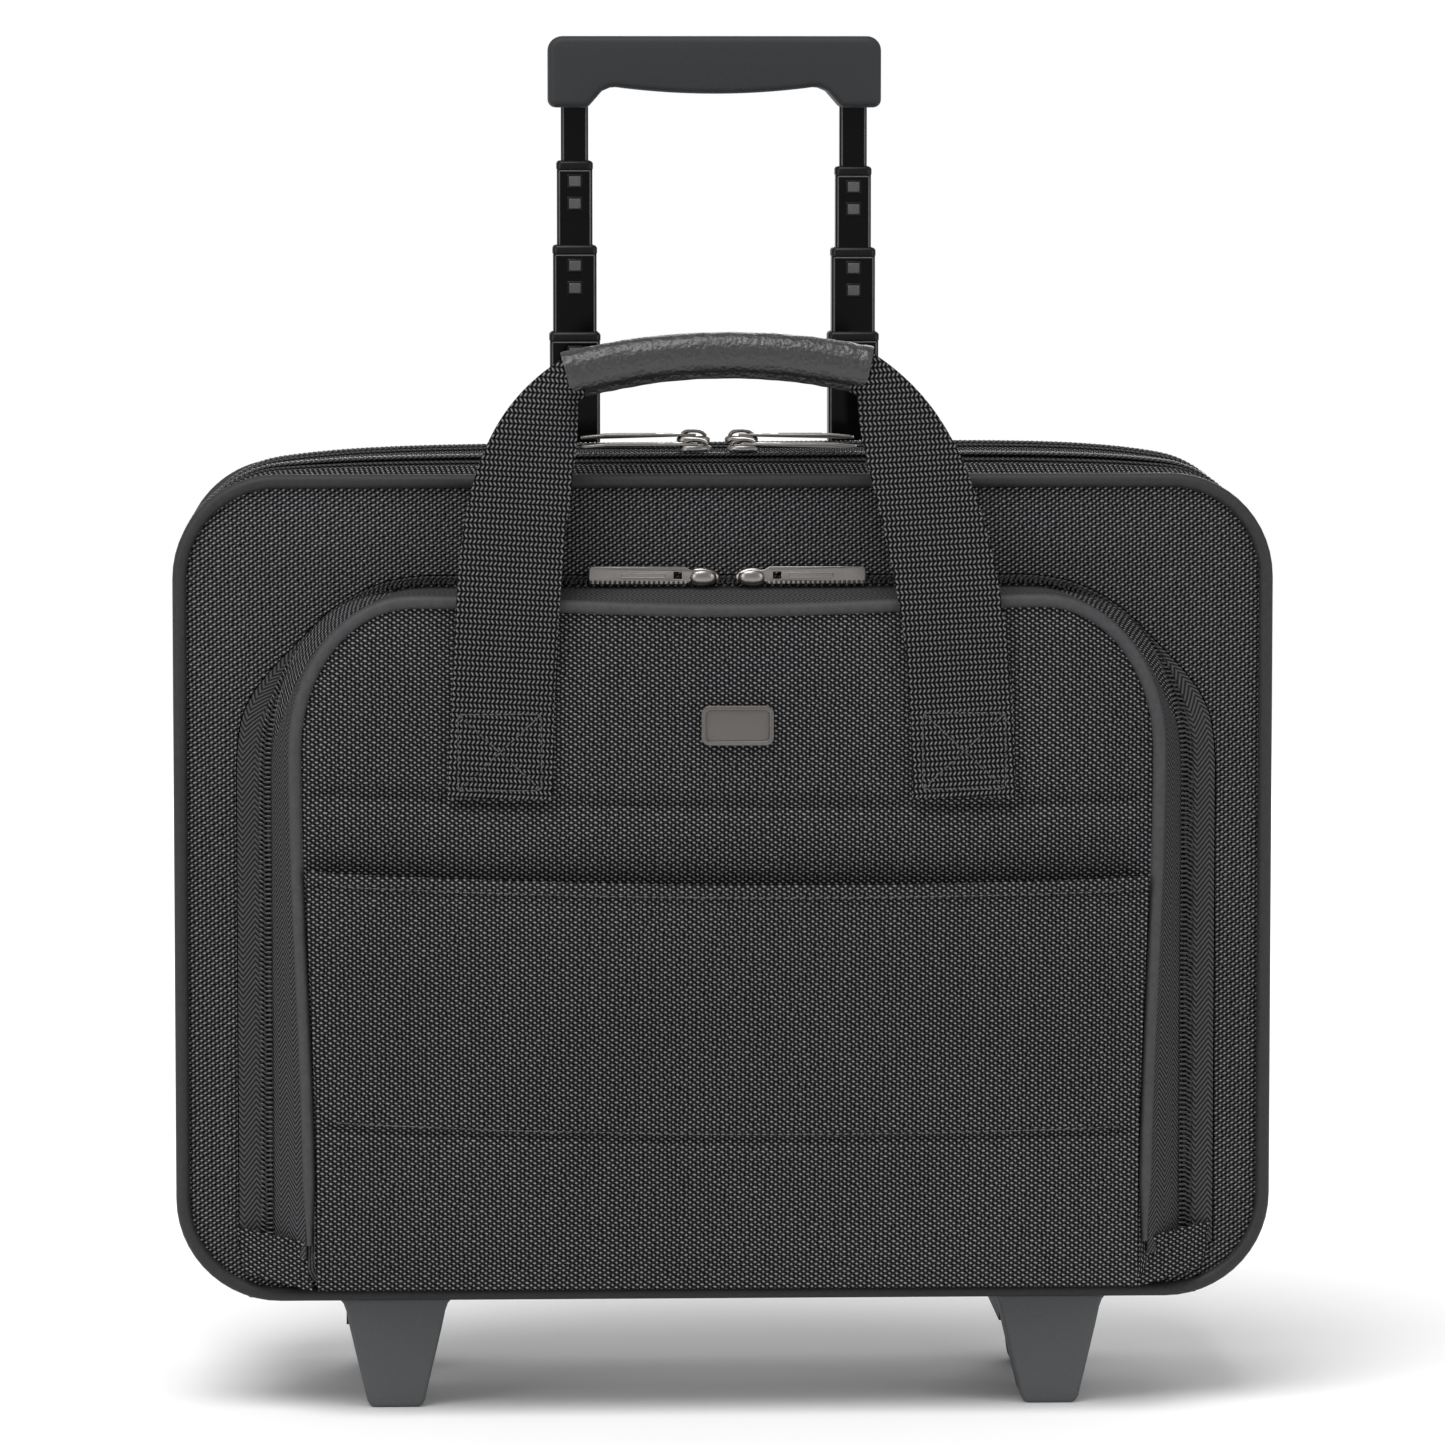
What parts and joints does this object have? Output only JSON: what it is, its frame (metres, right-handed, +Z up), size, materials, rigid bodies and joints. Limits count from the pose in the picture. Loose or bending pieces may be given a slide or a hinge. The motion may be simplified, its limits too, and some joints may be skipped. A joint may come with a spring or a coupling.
{
  "type": "rolling laptop case",
  "caption": "Soft-sided rolling laptop case with a telescopic trolley handle, carry handles, zipped sections, a front pocket, wheels and front feet.",
  "frame": {"origin": "middle of the footprint box, on the floor", "axes": "+Z up along the trolley tubes, -Y out of the front pocket, +X to the right seen from the front"},
  "size_m": [0.4064, 0.1686, 0.509],
  "materials": {
    "nylon": "ballistic weave nylon",
    "lining": "woven lining and gusset",
    "piping": "smooth vinyl piping",
    "webbing": "ribbed webbing",
    "leather": "grained, slightly glossy",
    "zip": "coil zip and tape",
    "nickel": "satin dark nickel",
    "steel": "turned",
    "tube": "gloss black anodised",
    "grip": "fine moulded texture",
    "foot": "fine moulded texture",
    "board": "moulded",
    "tyre": "matt"
  },
  "bodies": {
    "case": {"rear_shell": "nylon", "rear_piping": "piping", "main_zip_chain": "zip", "base_board": "board", "foot_left": "foot", "foot_right": "foot", "wheel_housing_left": "board", "wheel_housing_right": "board", "axle_left": "steel", "axle_right": "steel", "outer_tube_left": "tube", "outer_tube_right": "tube", "rear_strap_patch_left": "webbing", "rear_strap_patch_right": "webbing", "trolley_bezel": "grip", "trolley_cover": "lining", "trolley_base_block": "board"},
    "mid_section": {"mid_shell": "lining", "laptop_zip_chain": "zip"},
    "front_section": {"front_shell": "nylon", "front_piping": "piping", "pocket_zip_chain": "zip", "zip_garage_left": "nylon", "zip_garage_right": "nylon"},
    "pocket": {"pocket_shell": "nylon", "pocket_piping": "piping", "slip_pocket_panel": "nylon", "badge_plate": "nickel", "front_strap_patch_left": "webbing", "front_strap_patch_right": "webbing"},
    "front_handle": {"front_handle_webbing": "webbing", "front_handle_grip": "leather"},
    "rear_handle": {"rear_handle_webbing": "webbing", "rear_handle_grip": "leather"},
    "stage_1": {"stage_1_tube_left": "tube", "stage_1_tube_right": "tube"},
    "stage_2": {"stage_2_tube_left": "tube", "stage_2_tube_right": "tube"},
    "stage_3": {"stage_3_tube_left": "tube", "stage_3_tube_right": "tube"},
    "stage_4": {"stage_4_tube_left": "tube", "stage_4_tube_right": "tube", "trolley_grip": "grip"},
    "release_button": {"release_button": "grip"},
    "wheel_left": {"wheel_tyre_left": "tyre", "wheel_hub_left": "grip"},
    "wheel_right": {"wheel_tyre_right": "tyre", "wheel_hub_right": "grip"},
    "main_slider_left": {"main_slider_left": "nickel"},
    "main_pull_left": {"main_pull_left": "nickel"},
    "main_slider_right": {"main_slider_right": "nickel"},
    "main_pull_right": {"main_pull_right": "nickel"},
    "laptop_slider_left": {"laptop_slider_left": "nickel"},
    "laptop_pull_left": {"laptop_pull_left": "nickel"},
    "laptop_slider_right": {"laptop_slider_right": "nickel"},
    "laptop_pull_right": {"laptop_pull_right": "nickel"},
    "pocket_slider_left": {"pocket_slider_left": "nickel"},
    "pocket_pull_left": {"pocket_pull_left": "nickel"},
    "pocket_slider_right": {"pocket_slider_right": "nickel"},
    "pocket_pull_right": {"pocket_pull_right": "nickel"}
  },
  "joints": [
    {"name": "stage_1_slide", "type": "slide", "parent": "case", "child": "stage_1", "axis": [0, 0, 1], "range_m": [-0.04, 0.116]},
    {"name": "stage_2_slide", "type": "slide", "parent": "stage_1", "child": "stage_2", "axis": [0, 0, 1], "range_m": [-0.0295, 0.13]},
    {"name": "stage_3_slide", "type": "slide", "parent": "stage_2", "child": "stage_3", "axis": [0, 0, 1], "range_m": [-0.0285, 0.131]},
    {"name": "stage_4_slide", "type": "slide", "parent": "stage_3", "child": "stage_4", "axis": [0, 0, 1], "range_m": [-0.0195, 0.14]},
    {"name": "release_press", "type": "slide", "parent": "stage_4", "child": "release_button", "axis": [0, 0, -1], "range_m": [0, 0.003], "stiffness_N_per_m": 400, "springref_m": -0.002},
    {"name": "wheel_spin_left", "type": "hinge", "parent": "case", "child": "wheel_left", "pos_m": [-0.124, 0.04089, 0.03], "axis": [1, 0, 0], "continuous": true},
    {"name": "wheel_spin_right", "type": "hinge", "parent": "case", "child": "wheel_right", "pos_m": [0.124, 0.04089, 0.03], "axis": [1, 0, 0], "continuous": true},
    {"name": "main_open", "type": "hinge", "parent": "case", "child": "mid_section", "pos_m": [0, -0.05511, 0.044], "axis": [1, 0, 0], "range_deg": [0, 18]},
    {"name": "laptop_open", "type": "hinge", "parent": "mid_section", "child": "front_section", "pos_m": [0, -0.05511, 0.044], "axis": [1, 0, 0], "range_deg": [0, 12]},
    {"name": "pocket_open", "type": "hinge", "parent": "front_section", "child": "pocket", "pos_m": [0.003, -0.05851, 0.048], "axis": [1, 0, 0], "range_deg": [0, 55]},
    {"name": "front_handle_swing", "type": "hinge", "parent": "pocket", "child": "front_handle", "pos_m": [0.002, -0.08201, 0.2635], "axis": [1, 0, 0], "range_deg": [0, 175]},
    {"name": "rear_handle_swing", "type": "hinge", "parent": "case", "child": "rear_handle", "pos_m": [0.002, 0.06709, 0.316], "axis": [1, 0, 0], "range_deg": [0, 172]},
    {"name": "main_slider_run_left", "type": "slide", "parent": "case", "child": "main_slider_left", "axis": [-1, 0, 0], "range_m": [0, 0.12]},
    {"name": "main_pull_lift_left", "type": "hinge", "parent": "main_slider_left", "child": "main_pull_left", "pos_m": [-0.01, -0.01521, 0.36207], "axis": [0, 1, 0], "range_deg": [0, 95]},
    {"name": "main_slider_run_right", "type": "slide", "parent": "case", "child": "main_slider_right", "axis": [1, 0, 0], "range_m": [0, 0.12]},
    {"name": "main_pull_lift_right", "type": "hinge", "parent": "main_slider_right", "child": "main_pull_right", "pos_m": [0.008, -0.01521, 0.36207], "axis": [0, -1, 0], "range_deg": [0, 95]},
    {"name": "laptop_slider_run_left", "type": "slide", "parent": "mid_section", "child": "laptop_slider_left", "axis": [-1, 0, 0], "range_m": [0, 0.12]},
    {"name": "laptop_pull_lift_left", "type": "hinge", "parent": "laptop_slider_left", "child": "laptop_pull_left", "pos_m": [-0.01, -0.03521, 0.35959], "axis": [0, 1, 0], "range_deg": [0, 95]},
    {"name": "laptop_slider_run_right", "type": "slide", "parent": "mid_section", "child": "laptop_slider_right", "axis": [1, 0, 0], "range_m": [0, 0.12]},
    {"name": "laptop_pull_lift_right", "type": "hinge", "parent": "laptop_slider_right", "child": "laptop_pull_right", "pos_m": [0.008, -0.03521, 0.35959], "axis": [0, -1, 0], "range_deg": [0, 95]},
    {"name": "pocket_slider_run_left", "type": "slide", "parent": "front_section", "child": "pocket_slider_left", "axis": [-1, 0, 0], "range_m": [0, 0.12]},
    {"name": "pocket_pull_lift_left", "type": "hinge", "parent": "pocket_slider_left", "child": "pocket_pull_left", "pos_m": [-0.008, -0.06101, 0.3078], "axis": [0, 0, 1], "range_deg": [0, 95]},
    {"name": "pocket_slider_run_right", "type": "slide", "parent": "front_section", "child": "pocket_slider_right", "axis": [1, 0, 0], "range_m": [0, 0.12]},
    {"name": "pocket_pull_lift_right", "type": "hinge", "parent": "pocket_slider_right", "child": "pocket_pull_right", "pos_m": [0.01, -0.06101, 0.3078], "axis": [0, 0, -1], "range_deg": [0, 95]}
  ]
}
